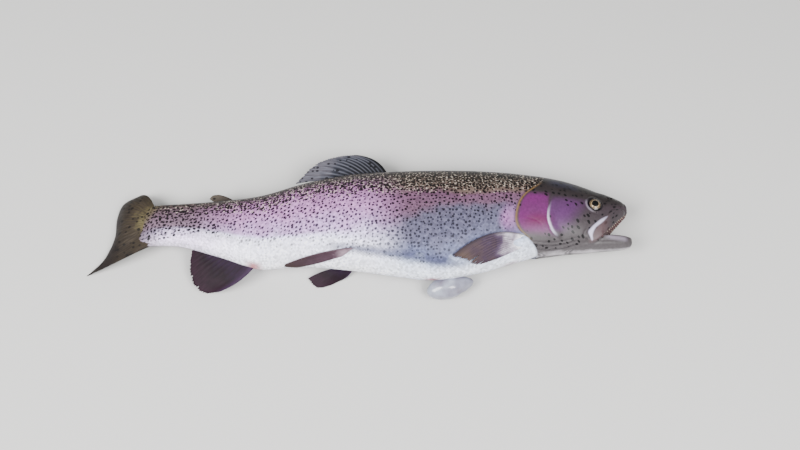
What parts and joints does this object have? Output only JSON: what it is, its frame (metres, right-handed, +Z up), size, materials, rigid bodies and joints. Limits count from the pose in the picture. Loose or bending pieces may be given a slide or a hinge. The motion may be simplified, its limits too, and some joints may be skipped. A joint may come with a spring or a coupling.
{
  "type": "rainbow trout",
  "caption": "Life-size rainbow trout lying on its left flank, mouth agape, fins laid back and a lobe of the stomach at its belly.",
  "frame": {"origin": "on the ground, under the middle of the fish's bounding box", "axes": "+X towards the head, +Y towards the back of the fish, +Z up, out of its right flank"},
  "size_m": [0.5722, 0.1626, 0.0649],
  "materials": {
    "head_skin": "wet smooth skin",
    "jaw_skin": "wet smooth skin",
    "gill_cover_skin": "wet smooth skin",
    "trunk_skin": "wet scaled skin",
    "back_fin": "wet fin membrane",
    "belly_fin": "wet fin membrane",
    "side_fin": "wet fin membrane",
    "tail_fin": "wet fin membrane",
    "eye": "wet clear cornea",
    "tongue": "wet flesh",
    "stomach": "wet flesh"
  },
  "bodies": {
    "root": {"head": "head_skin", "lower_jaw": "jaw_skin", "maxilla_right": "jaw_skin", "maxilla_left": "jaw_skin", "gill_cover_right": "gill_cover_skin", "gill_cover_left": "gill_cover_skin", "eye_right": "eye", "eye_left": "eye", "tongue": "tongue", "trunk_front": "trunk_skin", "trunk_middle": "trunk_skin", "trunk_rear": "trunk_skin", "caudal_peduncle": "trunk_skin", "dorsal_fin": "back_fin", "adipose_fin": "back_fin", "anal_fin": "belly_fin", "caudal_fin": "tail_fin", "pelvic_fin_right": "side_fin", "pelvic_fin_left": "belly_fin", "pectoral_fin_right": "side_fin", "pectoral_fin_left": "side_fin", "stomach_lobe": "stomach"}
  },
  "joints": []
}
